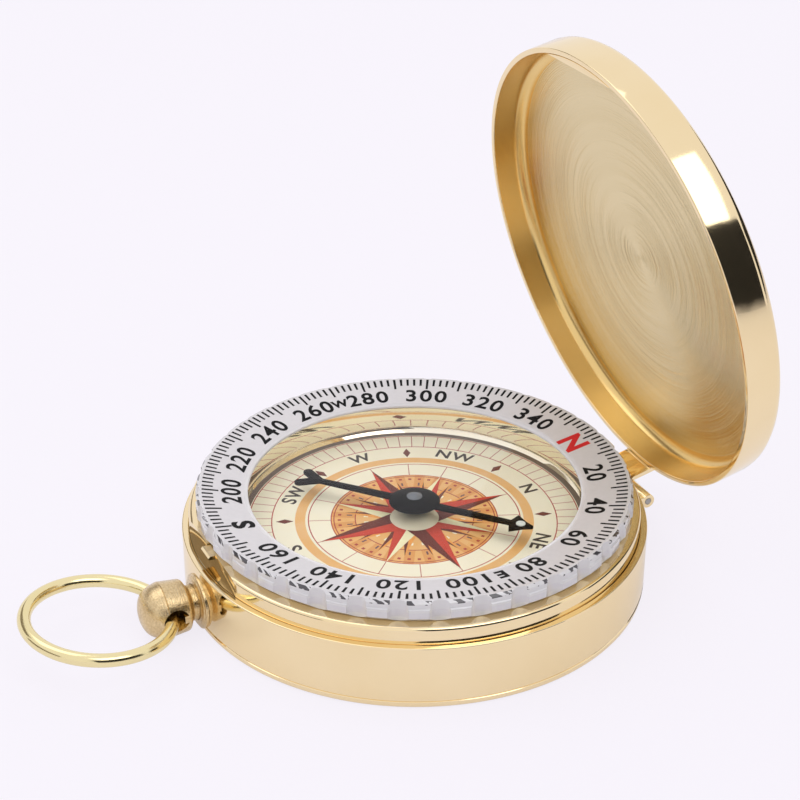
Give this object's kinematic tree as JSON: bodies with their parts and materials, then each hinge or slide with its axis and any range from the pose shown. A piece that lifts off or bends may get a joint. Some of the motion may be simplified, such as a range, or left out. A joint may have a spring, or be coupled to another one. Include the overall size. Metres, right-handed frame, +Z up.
{
  "type": "pocket compass",
  "caption": "Round brass pocket compass in a watch-style case: hinged lid, turning clear degree bezel, pivoted needle over a printed dial, push crown and bow ring.",
  "frame": {"origin": "centre of the case's flat underside", "axes": "+Z up along the needle's pivot, +X towards the lid's hinge, -X towards the crown and bow"},
  "size_m": [0.0762, 0.05, 0.0561],
  "materials": {
    "polished_brass": "polished",
    "spun_brass": "spun inside, polished outside",
    "turned_brass": "fine turned",
    "bow_brass": "polished wire",
    "capsule_brass": "bright",
    "printed_dial": "printed, satin",
    "clear_window": "clear moulded",
    "clear_bezel": "clear, printed scale",
    "gasket_rubber": "matt",
    "spring_steel": "bright",
    "needle_black": "satin black",
    "needle_jewel": "polished",
    "lume_paint": "matt"
  },
  "bodies": {
    "case": {"case_shell": "polished_brass", "neck_ring": "polished_brass", "capsule_cup": "capsule_brass", "dial_plate": "printed_dial", "dial_ring": "capsule_brass", "pivot_boss": "turned_brass", "pivot_pin": "spring_steel", "capsule_window": "clear_window", "window_gasket": "gasket_rubber", "pendant_collar": "turned_brass", "hinge_knuckle_front": "polished_brass", "hinge_knuckle_rear": "polished_brass", "hinge_pin": "spring_steel", "catch_leaf_spring": "spring_steel", "lift_spring": "spring_steel", "lift_spring_rivet": "turned_brass", "bezel_snap_wire": "spring_steel"},
    "bezel": {"bezel_ring": "clear_bezel"},
    "needle": {"needle_blade": "needle_black", "needle_cap": "needle_black", "needle_jewel": "needle_jewel", "needle_lume": "lume_paint"},
    "lid": {"lid_shell": "spun_brass", "lid_knuckle": "polished_brass", "lid_catch_lip": "polished_brass"},
    "crown": {"crown_knob": "turned_brass", "crown_clip": "spring_steel"},
    "catch": {"lid_catch": "polished_brass"},
    "bow": {"bow_ring": "bow_brass"}
  },
  "joints": [
    {"name": "lid_hinge", "type": "hinge", "parent": "case", "child": "lid", "pos_m": [0.0259, 0, 0.0051], "axis": [0, 1, 0], "range_deg": [-77.3, 0], "stiffness_Nm_per_rad": 0.0026, "springref_deg": 28.65},
    {"name": "bezel_turn", "type": "hinge", "parent": "case", "child": "bezel", "pos_m": [0, 0, 0.0095], "axis": [0, 0, 1], "continuous": true},
    {"name": "needle_swing", "type": "hinge", "parent": "case", "child": "needle", "pos_m": [0, 0, 0.0086], "axis": [0, 0, 1], "continuous": true},
    {"name": "crown_push", "type": "slide", "parent": "case", "child": "crown", "axis": [1, 0, 0], "range_m": [0, 0.00055], "stiffness_N_per_m": 2000, "springref_m": -0.0005},
    {"name": "catch_slide", "type": "slide", "parent": "case", "child": "catch", "axis": [1, 0, 0], "range_m": [0, 0.00055], "deforming": ["catch_leaf_spring"]},
    {"name": "bow_swing", "type": "hinge", "parent": "crown", "child": "bow", "pos_m": [-0.02825, 0, 0.0031], "axis": [0, 1, 0], "range_deg": [-97, 83]}
  ],
  "couplings": [
    {"joint": "catch_slide", "follows": "crown_push", "ratio": 1}
  ]
}
